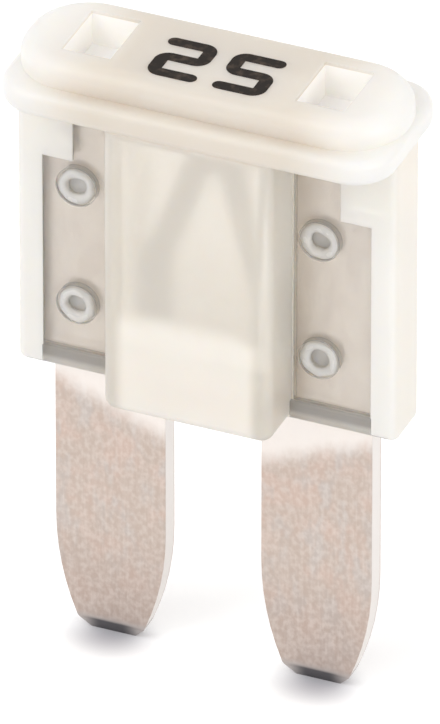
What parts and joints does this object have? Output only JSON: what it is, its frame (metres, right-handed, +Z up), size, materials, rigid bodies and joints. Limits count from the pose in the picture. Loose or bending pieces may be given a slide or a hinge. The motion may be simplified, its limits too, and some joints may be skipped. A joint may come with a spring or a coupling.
{
  "type": "automotive blade fuse",
  "caption": "Micro-size plug-in blade fuse: a translucent flanged plastic housing around one stamped metal element with tapered blades and an arched fuse link",
  "frame": {"origin": "midway between the two blades, in the plane of the housing's underside", "axes": "+Z up out of the fuse holder, X along the row of blades, Y through the thickness"},
  "size_m": [0.0092, 0.0038, 0.0152],
  "materials": {
    "housing": "natural translucent polyamide, satin moulded faces",
    "blade_element": "plated copper alloy, warm and mottled, with dark bevelled tips"
  },
  "bodies": {
    "root": {"housing": "housing", "blade_element": "blade_element"}
  },
  "joints": []
}
